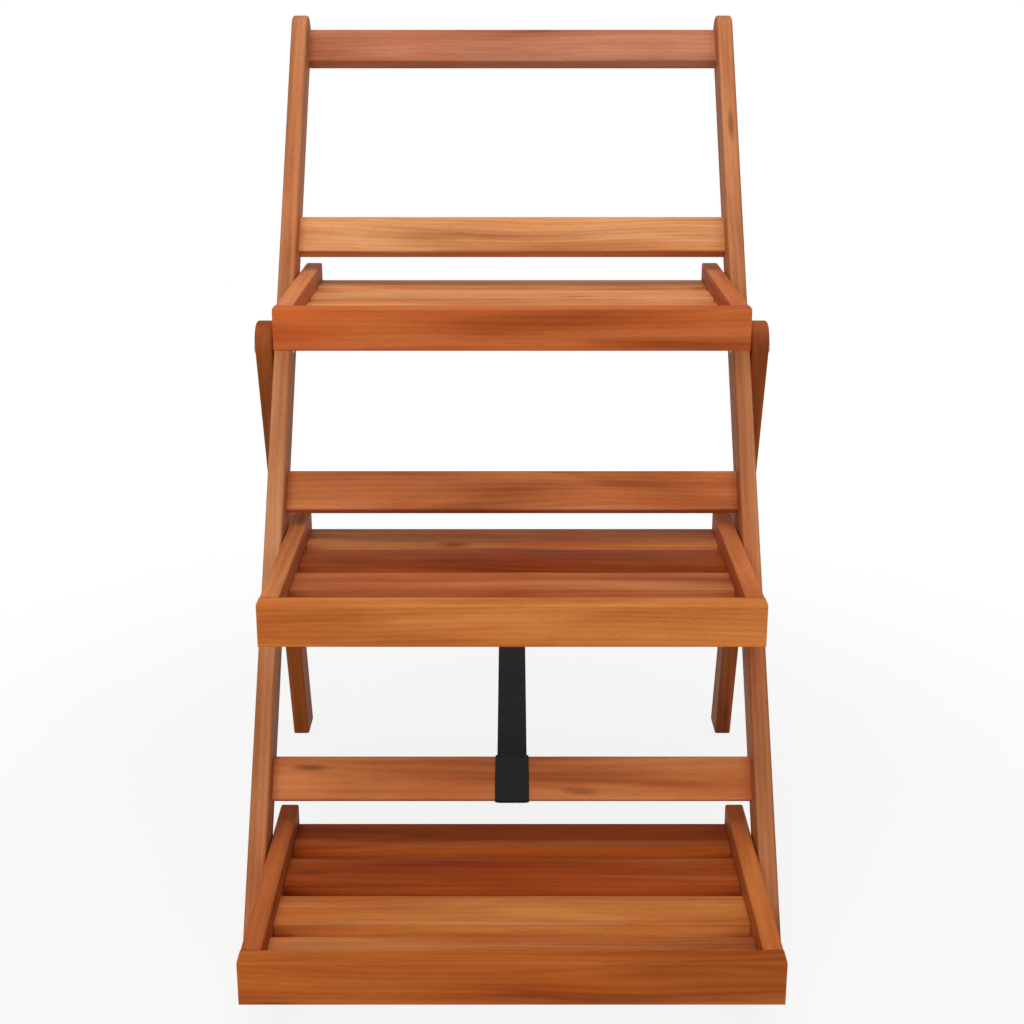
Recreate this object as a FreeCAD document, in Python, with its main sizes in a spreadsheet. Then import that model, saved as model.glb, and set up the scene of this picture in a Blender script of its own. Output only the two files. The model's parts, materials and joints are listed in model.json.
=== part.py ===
import FreeCAD, Part
import os
import Sketcher

# Folding plant stand with three slatted trays.
#
# A ladder of two leaning legs and four rails carries the trays between its legs. Each tray turns on
# two bolts and rests on two small blocks below its side rails, and it tips up against the rail
# above. Two rear legs turn on bolts outside the ladder's legs. A strap from the lowest rail to the rear
# stretcher stops them when the stand is open.
#
# Millimetres. X runs across the stand, Y from the front to the back, and Z up from the floor.
# The origin is on the floor, at the middle of the stand's width and depth.

TRAYS = ("lower", "middle", "upper")
RUNGS = ("lower_rung", "middle_rung", "upper_rung")
SIDES = (("left", -1), ("right", 1))

DRIVING_SIZES = (
    ("tray_width", 500),
    ("tray_depth", 270),
    ("board_height", 45),
    ("board_thick", 20),
    ("rail_thick", 19),
    ("slat_width", 47),
    ("slat_thick", 15),
    ("slat_count", 4),
    ("slat_drop", 20),
    ("slat_back_margin", 5),
    ("slat_side_gap", 0.5),
    ("cleat_width", 20),
    ("cleat_height", 10),
    ("leg_lean", 33.5),
    ("leg_thick", 19),
    ("leg_depth", 44),
    ("leg_above", 352),
    ("rung_height", 45),
    ("rung_thick", 19),
    ("rung_above", 93),
    ("rung_settle", 5),
    ("top_rail_drop", 14),
    ("pivot_first", 116),
    ("tray_pitch", 318),
    ("middle_tray_rise", 8.5),
    ("pivot_reach", 185),
    ("pivot_drop", 26),
    ("rear_lean", 15.4),
    ("rear_thick", 20),
    ("rear_depth", 44),
    ("rear_head", 10),
    ("fold_below", 61),
    ("stretcher_at", 365),
    ("stretcher_height", 45),
    ("stretcher_thick", 19),
    ("tray_gap", 1.5),
    ("rear_gap", 2),
    ("edge_round", 2),
    ("leg_round", 3),
    ("bolt_radius", 3),
    ("bolt_clearance", 0.08),
    ("bolt_head_radius", 6.5),
    ("bolt_head_thick", 3.5),
    ("bolt_bite", 13),
    ("head_play", 0.3),
    ("nut_radius", 6.5),
    ("nut_thick", 5),
    ("recess_clearance", 0.4),
    ("stop_forward", 27),
    ("stop_length", 10),
    ("stop_height", 8),
    ("stop_reach", 12),
    ("stop_play", 0.3),
    ("strap_width", 32),
    ("strap_loop_width", 36),
    ("strap_thick", 2),
    ("strap_play", 0.3),
    ("strap_end_play", 1),
)

# Lines across the ladder are measured along the legs from the front corner of their feet, and all
# of them follow the trays' bolts. "leg_mid" is the depth of a leg's centre line behind its front
# face, and "leg_straight" is how far up its half-round top starts.
DERIVED_SIZES = (
    ("last_pivot", "=pivot_first + 2 * tray_pitch"),
    ("leg_straight", "=last_pivot + leg_above"),
    ("rung_first", "=pivot_first + rung_above"),
    ("rung_pitch", "=tray_pitch - rung_settle"),
    ("top_rail_at", "=leg_straight - top_rail_drop"),
    ("fold_pivot", "=last_pivot - fold_below"),
    ("leg_mid", "=leg_depth / 2"),
    ("rear_mid", "=rear_depth / 2"),
    ("lean_sine", "=sin(leg_lean)"),
    ("lean_cosine", "=cos(leg_lean)"),
    ("rear_sine", "=sin(rear_lean)"),
    ("rear_cosine", "=cos(rear_lean)"),
    ("first_pivot_y", "=pivot_first * lean_sine + leg_mid * lean_cosine"),
    ("tray_front", "=first_pivot_y - pivot_reach"),
    ("leg_top_y", "=leg_straight * lean_sine + leg_mid * lean_cosine + leg_mid"),
    ("foot_y", "=-(tray_front + leg_top_y) / 2"),
    ("leg_inner", "=tray_width / 2 + tray_gap"),
    ("leg_outer", "=leg_inner + leg_thick"),
    ("rear_inner", "=leg_outer + rear_gap"),
    ("rear_outer", "=rear_inner + rear_thick"),
    ("fold_y", "=foot_y + fold_pivot * lean_sine + leg_mid * lean_cosine"),
    ("fold_z", "=fold_pivot * lean_cosine - leg_mid * lean_sine"),
    ("rear_pivot_at", "=(fold_z - rear_mid * rear_sine) / rear_cosine"),
    ("rear_foot_y", "=fold_y + rear_pivot_at * rear_sine - rear_mid * rear_cosine"),
    ("rail_inner", "=tray_width / 2 - rail_thick"),
    ("slat_room", "=tray_depth - board_thick - slat_back_margin - slat_count * slat_width"),
    ("slat_gap", "=slat_room / (slat_count - 1)"),
)

doc = FreeCAD.newDocument("PlantStand")
sizes = doc.addObject("Spreadsheet::Sheet", "sizes")
for row, (alias, content) in enumerate(DRIVING_SIZES + DERIVED_SIZES, start=1):
    sizes.set(f"A{row}", alias)
    sizes.set(f"B{row}", str(content))
    sizes.setAlias(f"B{row}", alias)
doc.recompute()

pieces = []


def value_of(expression):
    """The present value of an expression on the sheet."""
    return float(sizes.evalExpression(expression))


def new_piece(label):
    """An empty body that becomes one piece of the stand."""
    body = doc.addObject("PartDesign::Body", label)
    body.Label = label
    pieces.append(body)
    return body


def place(piece, across, back, up, turn="0"):
    """Sets where a piece stands, and its turn about the X axis."""
    spot = f"vector({across}; {back}; {up})"
    piece.setExpression("Placement", f"placement({spot}; rotation(vector(1; 0; 0); {turn}))")


def side_sketch(body, name, offset="0"):
    """A sketch on the body's YZ plane, moved along X by the offset."""
    sketch = body.newObject("Sketcher::SketchObject", f"{body.Name}_{name}")
    planes = [feature for feature in body.Origin.OriginFeatures if feature.Role == "YZ_Plane"]
    sketch.AttachmentSupport = [(planes[0], "")]
    sketch.MapMode = "FlatFace"
    sketch.setExpression("AttachmentOffset.Base.z", offset)
    return sketch


def fix_point(sketch, geometry, point, name, across, up):
    """Ties a point of the sketch to the two expressions."""
    for kind, letter, expression in (("DistanceX", "x", across), ("DistanceY", "y", up)):
        rule = Sketcher.Constraint(kind, -1, 1, geometry, point, value_of(expression))
        index = sketch.addConstraint(rule)
        sketch.renameConstraint(index, f"{name}_{letter}")
        sketch.setExpression(f"Constraints.{name}_{letter}", expression)


def draw_outline(sketch, corners, round_end=False):
    """Draws a closed outline. With round_end, a half circle joins the second and third corners."""
    points = [FreeCAD.Vector(value_of(across), value_of(up), 0) for across, up in corners]
    for index, start in enumerate(points):
        end = points[(index + 1) % len(points)]
        if round_end and index == 1:
            centre = (start + end) * 0.5
            crown = centre + FreeCAD.Vector(0, (end - start).Length / 2, 0)
            sketch.addGeometry(Part.Arc(start, crown, end))
        else:
            sketch.addGeometry(Part.LineSegment(start, end))
    for index in range(len(points)):
        following = (index + 1) % len(points)
        # an arc runs anticlockwise, so this one starts at the third corner
        end_point = 1 if round_end and index == 1 else 2
        start_point = 2 if round_end and following == 1 else 1
        sketch.addConstraint(Sketcher.Constraint("Coincident", index, end_point, following, start_point))
    for index, (across, up) in enumerate(corners):
        if round_end and index == 1:
            fix_point(sketch, 0, 2, "corner1", across, up)
        else:
            fix_point(sketch, index, 1, f"corner{index}", across, up)
    if round_end:
        rule = Sketcher.Constraint("DistanceY", -1, 1, 1, 3, value_of(corners[1][1]))
        sketch.renameConstraint(sketch.addConstraint(rule), "crown_y")
        sketch.setExpression("Constraints.crown_y", corners[1][1])


def draw_hole(sketch, name, across, up, radius):
    """Adds a circle to the sketch."""
    centre = FreeCAD.Vector(value_of(across), value_of(up), 0)
    circle = sketch.addGeometry(Part.Circle(centre, FreeCAD.Vector(0, 0, 1), value_of(radius)))
    fix_point(sketch, circle, 3, name, across, up)
    rule = Sketcher.Constraint("Radius", circle, value_of(radius))
    sketch.renameConstraint(sketch.addConstraint(rule), f"{name}_radius")
    sketch.setExpression(f"Constraints.{name}_radius", radius)


def pad(body, sketch, length, towards_left=False):
    """Makes the sketch solid along X."""
    solid = body.newObject("PartDesign::Pad", f"{body.Name}_pad")
    solid.Profile = sketch
    solid.Reversed = towards_left
    solid.setExpression("Length", length)
    sketch.Visibility = False
    doc.recompute()
    return solid


def pocket(body, sketch, name, depth, towards_right):
    """Cuts the sketch's circles into the body."""
    cut = body.newObject("PartDesign::Pocket", f"{body.Name}_{name}")
    cut.Profile = sketch
    cut.Reversed = towards_right
    cut.setExpression("Length", depth)
    sketch.Visibility = False
    doc.recompute()


def is_long_edge(edge):
    """True for an edge that runs across the stand."""
    return edge.Curve.TypeId == "Part::GeomLine" and abs(edge.tangentAt(edge.FirstParameter).x) > 0.99


def is_side_edge(edge):
    """True for an outline's own edge: not one that runs across, not a hole and not at the foot."""
    if edge.isClosed() or is_long_edge(edge):
        return False
    middle = edge.valueAt((edge.FirstParameter + edge.LastParameter) / 2)
    return edge.Curve.TypeId != "Part::GeomLine" or abs(middle.z) > value_of("sizes.leg_depth")


def round_edges(body, solid, wanted, radius="sizes.edge_round"):
    """Rounds the edges that the test picks."""
    names = [f"Edge{index}" for index, edge in enumerate(solid.Shape.Edges, start=1) if wanted(edge)]
    softened = body.newObject("PartDesign::Fillet", f"{body.Name}_round")
    softened.Base = (solid, names)
    softened.setExpression("Radius", radius)
    solid.Visibility = False
    doc.recompute()
    return softened


def rectangle(wide, high):
    """The corners of a rectangle that starts at the sketch's origin."""
    return (("0", "0"), (wide, "0"), (wide, high), ("0", high))


def make_board(label, length, thick, high):
    """A straight board along X, with its long edges rounded."""
    body = new_piece(label)
    sketch = side_sketch(body, "section")
    draw_outline(sketch, rectangle(thick, high))
    round_edges(body, pad(body, sketch, length), is_long_edge)
    return body


def make_slat(label, length):
    """A slat along X, with its long edges planed off at 45 degrees."""
    body = new_piece(label)
    sketch = side_sketch(body, "section")
    draw_outline(sketch, rectangle("sizes.slat_width", "sizes.slat_thick"))
    solid = pad(body, sketch, length)
    planed = body.newObject("PartDesign::Chamfer", f"{body.Name}_planed")
    edges = enumerate(solid.Shape.Edges, start=1)
    planed.Base = (solid, [f"Edge{index}" for index, edge in edges if is_long_edge(edge)])
    planed.setExpression("Size", "sizes.edge_round / 2")
    solid.Visibility = False
    doc.recompute()
    return body


def along_ladder(distance, depth):
    """Y and Z of a point on the ladder, from its distance up the leg and its depth."""
    back = f"sizes.foot_y + ({distance}) * sizes.lean_sine + ({depth}) * sizes.lean_cosine"
    up = f"({distance}) * sizes.lean_cosine - ({depth}) * sizes.lean_sine"
    return back, up


def along_rear(distance, depth):
    """Y and Z of a point on the rear frame, from its distance up the leg and its depth."""
    back = f"sizes.rear_foot_y - ({distance}) * sizes.rear_sine + ({depth}) * sizes.rear_cosine"
    up = f"({distance}) * sizes.rear_cosine + ({depth}) * sizes.rear_sine"
    return back, up


def tray_pivot(number):
    """How far up the leg a tray's bolts are. The middle tray's are a little above halfway."""
    distance = f"sizes.pivot_first + {number} * sizes.tray_pitch"
    if TRAYS[number] == "middle":
        distance += " + sizes.middle_tray_rise"
    return distance


def make_main_leg(name, side):
    """A leg of the ladder, with its outer face on the sketch plane and a half-round top."""
    body = new_piece(f"main_leg_{name}")
    outline = side_sketch(body, "outline")
    foot = "sizes.leg_depth * tan(sizes.leg_lean)"
    top = "sizes.leg_straight"
    corners = (("0", "0"), ("0", top), ("sizes.leg_depth", top), ("sizes.leg_depth", foot))
    draw_outline(outline, corners, round_end=True)
    loose = "sizes.bolt_radius + sizes.bolt_clearance"
    for number in range(len(TRAYS)):
        draw_hole(outline, f"tray{number}", "sizes.leg_mid", tray_pivot(number), loose)
    draw_hole(outline, "fold", "sizes.leg_mid", "sizes.fold_pivot", loose)
    blank = pad(body, outline, "sizes.leg_thick", towards_left=side > 0)
    round_edges(body, blank, is_side_edge, "sizes.leg_round")

    heads = side_sketch(body, "heads")
    for number in range(len(TRAYS)):
        wide = "sizes.bolt_head_radius + sizes.recess_clearance"
        draw_hole(heads, f"head{number}", "sizes.leg_mid", tray_pivot(number), wide)
    deep = "sizes.bolt_head_thick + sizes.recess_clearance"
    pocket(body, heads, "head_recesses", deep, towards_right=side < 0)

    inner = f"{-side} * sizes.leg_thick"
    nuts = side_sketch(body, "nut", inner)
    wide = "sizes.nut_radius + sizes.recess_clearance"
    draw_hole(nuts, "nut", "sizes.leg_mid", "sizes.fold_pivot", wide)
    deep = "sizes.nut_thick + sizes.recess_clearance"
    pocket(body, nuts, "nut_recess", deep, towards_right=side > 0)
    place(body, f"{side} * sizes.leg_outer", "sizes.foot_y", "0", "-sizes.leg_lean")


def make_rear_leg(name, side):
    """A rear leg, with its inner face on the sketch plane and a half-round top above the pivot."""
    body = new_piece(f"rear_leg_{name}")
    outline = side_sketch(body, "outline")
    foot = "-sizes.rear_depth * tan(sizes.rear_lean)"
    top = "sizes.rear_pivot_at + sizes.rear_head"
    corners = (("0", "0"), ("0", top), ("sizes.rear_depth", top), ("sizes.rear_depth", foot))
    draw_outline(outline, corners, round_end=True)
    loose = "sizes.bolt_radius + sizes.bolt_clearance"
    draw_hole(outline, "fold", "sizes.rear_mid", "sizes.rear_pivot_at", loose)
    blank = pad(body, outline, "sizes.rear_thick", towards_left=side < 0)
    round_edges(body, blank, is_side_edge, "sizes.leg_round")
    place(body, f"{side} * sizes.rear_inner", "sizes.rear_foot_y", "0", "sizes.rear_lean")


def make_rung(label, centre):
    """A rail between the ladder's legs, flush with the legs' back faces."""
    body = make_board(label, "2 * sizes.leg_inner", "sizes.rung_thick", "sizes.rung_height")
    distance = f"{centre} - sizes.rung_height / 2"
    back, up = along_ladder(distance, "sizes.leg_depth - sizes.rung_thick")
    place(body, "-sizes.leg_inner", back, up, "-sizes.leg_lean")


def make_stretcher():
    """The rail between the rear legs, flush with the legs' back faces."""
    length = "2 * sizes.rear_inner"
    body = make_board("rear_stretcher", length, "sizes.stretcher_thick", "sizes.stretcher_height")
    distance = "sizes.rear_pivot_at - sizes.stretcher_at - sizes.stretcher_height / 2"
    back, up = along_rear(distance, "sizes.rear_depth - sizes.stretcher_thick")
    place(body, "-sizes.rear_inner", back, up, "sizes.rear_lean")


def make_side_rail(tray, name, side, front, top):
    """A side of a tray behind its front board, with its inner face on the sketch plane."""
    body = new_piece(f"{tray}_side_rail_{name}")
    outline = side_sketch(body, "outline")
    draw_outline(outline, rectangle("sizes.tray_depth - sizes.board_thick", "sizes.board_height"))
    blank = pad(body, outline, "sizes.rail_thick", towards_left=side < 0)
    round_edges(body, blank, is_lengthwise_edge)

    bore = side_sketch(body, "bore", f"{side} * sizes.rail_thick")
    across = "sizes.pivot_reach - sizes.board_thick"
    up = "sizes.board_height - sizes.pivot_drop"
    draw_hole(bore, "pivot", across, up, "sizes.bolt_radius + sizes.bolt_clearance")
    deep = "sizes.bolt_bite + sizes.recess_clearance"
    pocket(body, bore, "pivot_bore", deep, towards_right=side < 0)
    back = f"{front} + sizes.board_thick"
    place(body, f"{side} * sizes.rail_inner", back, f"{top} - sizes.board_height")


def is_lengthwise_edge(edge):
    """True for an edge that runs from the front to the back."""
    return edge.Curve.TypeId == "Part::GeomLine" and abs(edge.tangentAt(edge.FirstParameter).y) > 0.99


def make_tray(number, tray):
    """A front board, two side rails, two cleats below the slats, and the slats."""
    pivot_back, pivot_up = along_ladder(tray_pivot(number), "sizes.leg_mid")
    front = f"{pivot_back} - sizes.pivot_reach"
    top = f"{pivot_up} + sizes.pivot_drop"
    half = "sizes.tray_width / 2"
    board = make_board(f"{tray}_front_board", "sizes.tray_width", "sizes.board_thick", "sizes.board_height")
    place(board, f"-{half}", front, f"{top} - sizes.board_height")
    for name, side in SIDES:
        make_side_rail(tray, name, side, front, top)

    slat_length = "2 * (sizes.rail_inner - sizes.slat_side_gap)"
    slat_left = "-sizes.rail_inner + sizes.slat_side_gap"
    slat_base = f"{top} - sizes.slat_drop - sizes.slat_thick"
    for slat in range(int(value_of("sizes.slat_count"))):
        body = make_slat(f"{tray}_slat_{slat + 1}", slat_length)
        back = f"{front} + sizes.board_thick + {slat} * (sizes.slat_width + sizes.slat_gap)"
        place(body, slat_left, back, slat_base)

    cleat_base = f"{slat_base} - sizes.cleat_height"
    body = doc.addObject("Part::Compound", f"{tray}_cleats")
    links = []
    for name, side in SIDES:
        cleat = doc.addObject("Part::Box", f"{tray}_cleat_{name}")
        cleat.setExpression("Length", "sizes.cleat_width")
        cleat.setExpression("Width", "sizes.tray_depth - sizes.board_thick - sizes.slat_back_margin")
        cleat.setExpression("Height", "sizes.cleat_height")
        left = "-sizes.rail_inner" if side < 0 else "sizes.rail_inner - sizes.cleat_width"
        place(cleat, left, f"{front} + sizes.board_thick", cleat_base)
        links.append(cleat)
    body.Links = links
    pieces.append(body)


def make_rod(name, start, end, back, up, radius):
    """A cylinder along X from one place to another."""
    rod = doc.addObject("Part::Cylinder", name)
    rod.setExpression("Radius", radius)
    rod.setExpression("Height", f"({end}) - ({start})")
    turned = "rotation(vector(0; 1; 0); 90)"
    rod.setExpression("Placement", f"placement(vector({start}; {back}; {up}); {turned})")
    return rod


def make_ring(name, start, end, back, up, outer, inner):
    """A sleeve nut along X."""
    disc = make_rod(f"{name}_disc", start, end, back, up, outer)
    hole = make_rod(f"{name}_hole", start, end, back, up, inner)
    ring = doc.addObject("Part::Cut", name)
    ring.Base = disc
    ring.Tool = hole
    return ring


def mirrored_span(side, near, far):
    """Start and end along X of a stretch between two distances from the middle."""
    return (near, far) if side > 0 else (f"-({far})", f"-({near})")


def make_bolt(name, side, near, far, back, up, head_outside):
    """A bolt from near to far, with a flat head at the outer end."""
    start, end = mirrored_span(side, near, far)
    shank = make_rod(f"{name}_shank", start, end, back, up, "sizes.bolt_radius")
    head_far = f"{far} + sizes.bolt_head_thick" if head_outside else far
    head_near = far if head_outside else f"{far} - sizes.bolt_head_thick"
    start, end = mirrored_span(side, head_near, head_far)
    head = make_rod(f"{name}_head", start, end, back, up, "sizes.bolt_head_radius")
    bolt = doc.addObject("Part::Fuse", name)
    bolt.Base = shank
    bolt.Tool = head
    return bolt


def group(label, parts):
    """One piece that holds identical fasteners."""
    together = doc.addObject("Part::Compound", label)
    together.Links = parts
    pieces.append(together)


def make_tray_fittings():
    """The six bolts that the trays turn on, and the six blocks that hold them level."""
    bolts, blocks = [], []
    for number, tray in enumerate(TRAYS):
        back, up = along_ladder(tray_pivot(number), "sizes.leg_mid")
        for name, side in SIDES:
            near = "sizes.tray_width / 2 - sizes.bolt_bite"
            far = "sizes.leg_outer"
            bolts.append(make_bolt(f"bolt_{tray}_{name}", side, near, far, back, up, False))
            block = doc.addObject("Part::Box", f"block_{tray}_{name}")
            block.setExpression("Length", "sizes.stop_reach")
            block.setExpression("Width", "sizes.stop_length")
            block.setExpression("Height", "sizes.stop_height")
            near = "sizes.leg_inner - sizes.stop_reach"
            left = mirrored_span(side, near, "sizes.leg_inner")[0]
            front = f"{back} - sizes.stop_forward - sizes.stop_length"
            below = "sizes.board_height - sizes.pivot_drop + sizes.stop_play + sizes.stop_height"
            place(block, left, front, f"{up} - ({below})")
            blocks.append(block)
    group("tray_pivot_bolts", bolts)
    group("tray_stop_blocks", blocks)


def make_fold_fasteners():
    """The two bolts and sleeve nuts that the rear legs turn on."""
    bolts, nuts = [], []
    bore = "sizes.bolt_radius + sizes.bolt_clearance"
    back, up = "sizes.fold_y", "sizes.fold_z"
    for name, side in SIDES:
        outer = "sizes.rear_outer + sizes.head_play"
        bolts.append(make_bolt(f"fold_bolt_{name}", side, "sizes.leg_inner", outer, back, up, True))
        start, stop = mirrored_span(side, "sizes.leg_inner", "sizes.leg_inner + sizes.nut_thick")
        nuts.append(make_ring(f"fold_nut_{name}", start, stop, back, up, "sizes.nut_radius", bore))
    group("fold_pivot_bolts", bolts)
    group("fold_pivot_nuts", nuts)


def make_strap_loop(label, thick, high, across, back, up, turn):
    """Webbing wrapped round a rail, open along X."""
    body = new_piece(label)
    sketch = side_sketch(body, "section")
    grow = "(sizes.strap_play + sizes.strap_thick)"
    corners = (
        (f"-{grow}", f"-{grow}"),
        (f"{thick} + {grow}", f"-{grow}"),
        (f"{thick} + {grow}", f"{high} + {grow}"),
        (f"-{grow}", f"{high} + {grow}"),
    )
    draw_outline(sketch, corners)
    solid = pad(body, sketch, "sizes.strap_loop_width")
    round_edges(body, solid, is_long_edge, "sizes.strap_thick + sizes.edge_round")
    hollow = side_sketch(body, "hollow")
    draw_outline(hollow, (
        ("-sizes.strap_play", "-sizes.strap_play"),
        (f"{thick} + sizes.strap_play", "-sizes.strap_play"),
        (f"{thick} + sizes.strap_play", f"{high} + sizes.strap_play"),
        ("-sizes.strap_play", f"{high} + sizes.strap_play"),
    ))
    pocket(body, hollow, "hollow", "sizes.strap_loop_width", towards_right=True)
    place(body, across, back, up, turn)


def make_strap():
    """The loops round the lowest rung and the stretcher, and the straight stretch between them."""
    left = "-sizes.strap_loop_width / 2"
    distance = "sizes.rung_first - sizes.rung_height / 2"
    back, up = along_ladder(distance, "sizes.leg_depth - sizes.rung_thick")
    turn = "-sizes.leg_lean"
    make_strap_loop("strap_loop_front", "sizes.rung_thick", "sizes.rung_height", left, back, up, turn)
    distance = "sizes.rear_pivot_at - sizes.stretcher_at - sizes.stretcher_height / 2"
    back, up = along_rear(distance, "sizes.rear_depth - sizes.stretcher_thick")
    turn = "sizes.rear_lean"
    make_strap_loop("strap_loop_rear", "sizes.stretcher_thick", "sizes.stretcher_height", left, back, up, turn)

    # The ends are on the loops' rounded corners: the front loop's upper back one and the rear
    # loop's upper front one.
    inset = "0.293 * (sizes.strap_thick + sizes.edge_round)"
    out = f"(sizes.strap_thick + sizes.strap_play - {inset})"
    start_y, start_z = along_ladder(
        f"sizes.rung_first + sizes.rung_height / 2 + {out}", f"sizes.leg_depth + {out}"
    )
    end_y, end_z = along_rear(
        f"sizes.rear_pivot_at - sizes.stretcher_at + sizes.stretcher_height / 2 + {out}",
        f"sizes.rear_depth - sizes.stretcher_thick - {out}",
    )
    run = f"(({end_y}) - ({start_y}))"
    rise = f"(({end_z}) - ({start_z}))"
    body = new_piece("strap_span")
    sketch = side_sketch(body, "section")
    length = f"sqrt({run} ^ 2 + {rise} ^ 2) - 2 * sizes.strap_end_play"
    half = "sizes.strap_thick / 2"
    draw_outline(sketch, (
        ("sizes.strap_end_play", f"-{half}"),
        (f"sizes.strap_end_play + {length}", f"-{half}"),
        (f"sizes.strap_end_play + {length}", half),
        ("sizes.strap_end_play", half),
    ))
    pad(body, sketch, "sizes.strap_width")
    place(body, "-sizes.strap_width / 2", start_y, start_z, f"atan2({rise}; {run})")


for side_name, side_sign in SIDES:
    make_main_leg(side_name, side_sign)
    make_rear_leg(side_name, side_sign)
for rung_number, rung in enumerate(RUNGS):
    make_rung(rung, f"sizes.rung_first + {rung_number} * sizes.rung_pitch")
make_rung("top_rail", "sizes.top_rail_at")
make_stretcher()
for tray_number, tray_name in enumerate(TRAYS):
    make_tray(tray_number, tray_name)
make_tray_fittings()
make_fold_fasteners()
make_strap()

doc.recompute()
for item in doc.Objects:
    if "Invalid" in item.State or "Error" in item.State:
        raise RuntimeError(f"{item.Label} failed: {item.State}")
for piece in pieces:
    if piece.Shape.isNull() or not piece.Shape.isValid():
        raise RuntimeError(f"{piece.Label} has no valid shape")

os.makedirs("parts", exist_ok=True)
for piece in pieces:
    piece.Shape.exportStep(f"parts/{piece.Label}.step")
print(f"{len(pieces)} pieces")
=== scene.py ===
import json
import math

import bmesh
import bpy
from bpy.props import FloatProperty, FloatVectorProperty, IntProperty, PointerProperty, StringProperty
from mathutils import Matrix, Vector

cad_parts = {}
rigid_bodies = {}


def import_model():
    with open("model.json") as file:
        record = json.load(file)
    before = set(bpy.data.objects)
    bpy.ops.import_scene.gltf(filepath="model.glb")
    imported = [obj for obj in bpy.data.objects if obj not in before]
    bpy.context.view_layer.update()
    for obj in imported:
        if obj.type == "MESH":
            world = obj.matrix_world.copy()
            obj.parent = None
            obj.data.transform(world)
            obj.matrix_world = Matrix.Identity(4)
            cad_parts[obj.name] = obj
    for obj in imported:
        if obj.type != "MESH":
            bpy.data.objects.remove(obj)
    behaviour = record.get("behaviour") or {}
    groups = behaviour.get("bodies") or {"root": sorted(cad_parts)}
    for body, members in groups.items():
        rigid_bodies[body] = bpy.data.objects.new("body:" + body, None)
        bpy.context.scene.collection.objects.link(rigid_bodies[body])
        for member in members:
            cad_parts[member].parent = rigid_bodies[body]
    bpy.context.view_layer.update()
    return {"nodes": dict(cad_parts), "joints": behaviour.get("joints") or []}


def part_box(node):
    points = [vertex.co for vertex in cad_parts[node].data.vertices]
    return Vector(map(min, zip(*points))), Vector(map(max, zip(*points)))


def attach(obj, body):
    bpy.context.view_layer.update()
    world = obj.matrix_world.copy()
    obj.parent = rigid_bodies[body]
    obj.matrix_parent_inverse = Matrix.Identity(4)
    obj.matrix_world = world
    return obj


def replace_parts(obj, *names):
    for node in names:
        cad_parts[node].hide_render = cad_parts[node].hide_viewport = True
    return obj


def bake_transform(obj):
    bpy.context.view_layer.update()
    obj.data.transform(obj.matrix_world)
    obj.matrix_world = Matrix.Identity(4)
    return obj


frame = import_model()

# Folding plant stand: oiled acacia boards, furniture bolts with a hexagon socket, and a webbing strap.
# Metres. X runs across the stand, Y from the front to the back, Z up from the floor.

bl_info = {
    "name": "Tiered plant stand",
    "version": (1, 0, 0),
    "blender": (4, 5, 0),
    "location": "3D View > Sidebar > Plant stand",
    "description": "Finishes a folding plant stand with slatted trays round its fixed frame",
    "category": "Object",
}

MM = 0.001
TRAYS = ("lower", "middle", "upper")
RAILS = ("lower_rung", "middle_rung", "upper_rung", "top_rail")
SIDES = (-1, 1)

# Sizes that the frame's pieces have: the bolts' shank and head radius, head thickness and bite in the
# side rails, the rails' section, and the distance from a cleat's outer face to its middle.
BOLT_SHANK, BOLT_HEAD, BOLT_HEAD_THICK, BOLT_BITE = 3 * MM, 6.5 * MM, 3.5 * MM, 13 * MM
RAIL_THICK, RAIL_HIGH = 19 * MM, 45 * MM
CLEAT_MIDDLE = 10 * MM

# How far a screw's head stands proud, the strap's play round a rail, its stitched length from each end,
# and its rows of stitches from there.
SCREW_PROUD = 0.5 * MM
LOOP_PLAY = 0.3 * MM
STITCH_ROWS = (6 * MM, 10 * MM)

# Each lamp's name, place, diameter and share of the lamp power, and the point that all of them face.
LAMPS = (("key", (-0.7, -3.2, 2.0), 1.8, 1.0), ("fill", (0.9, -3.0, 1.1), 2.0, 0.40),
         ("top", (0.0, -0.3, 3.2), 2.6, 1.35))
LAMP_AIM = Vector((0, 0, 0.45))


# ---------------- places read from the frame

def middle(node):
    """The middle of a node's box."""
    low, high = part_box(node)
    return (low + high) / 2


def joint_point(name):
    """A point on a joint's axis."""
    return Vector(next(joint["pos_m"] for joint in frame["joints"] if joint["name"] == name))


def lean_of(upper_point, lower_point):
    """Angle from the vertical of the line between two points, in the side view."""
    run = upper_point - lower_point
    return math.atan2(run.y, run.z)


TRAY_PIVOTS = {tray: joint_point(f"{tray}_tray_tip") for tray in TRAYS}
FOLD_PIVOT = joint_point("rear_frame_fold")
LADDER_LEAN = lean_of(TRAY_PIVOTS["upper"], TRAY_PIVOTS["lower"])


def rear_lean():
    """Angle of the rear legs from the vertical, from their feet to the bolts they turn on."""
    low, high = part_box("rear_leg_left")
    mesh = frame["nodes"]["rear_leg_left"].data
    feet = [v.co.y for v in mesh.vertices if v.co.z < low.z + 2 * MM]
    foot = Vector((0, (min(feet) + max(feet)) / 2, 0))
    return lean_of(FOLD_PIVOT, foot)


REAR_LEAN = rear_lean()
UP_LADDER = Vector((0, math.sin(LADDER_LEAN), math.cos(LADDER_LEAN)))
BACK_LADDER = Vector((0, math.cos(LADDER_LEAN), -math.sin(LADDER_LEAN)))
UP_REAR = Vector((0, math.sin(REAR_LEAN), math.cos(REAR_LEAN)))
BACK_REAR = Vector((0, math.cos(REAR_LEAN), -math.sin(REAR_LEAN)))


# ---------------- sizes and colours to change

def length(name, description, default, **limits):
    """A length that can be changed."""
    return FloatProperty(name=name, description=description, default=default, unit="LENGTH", **limits)


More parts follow.
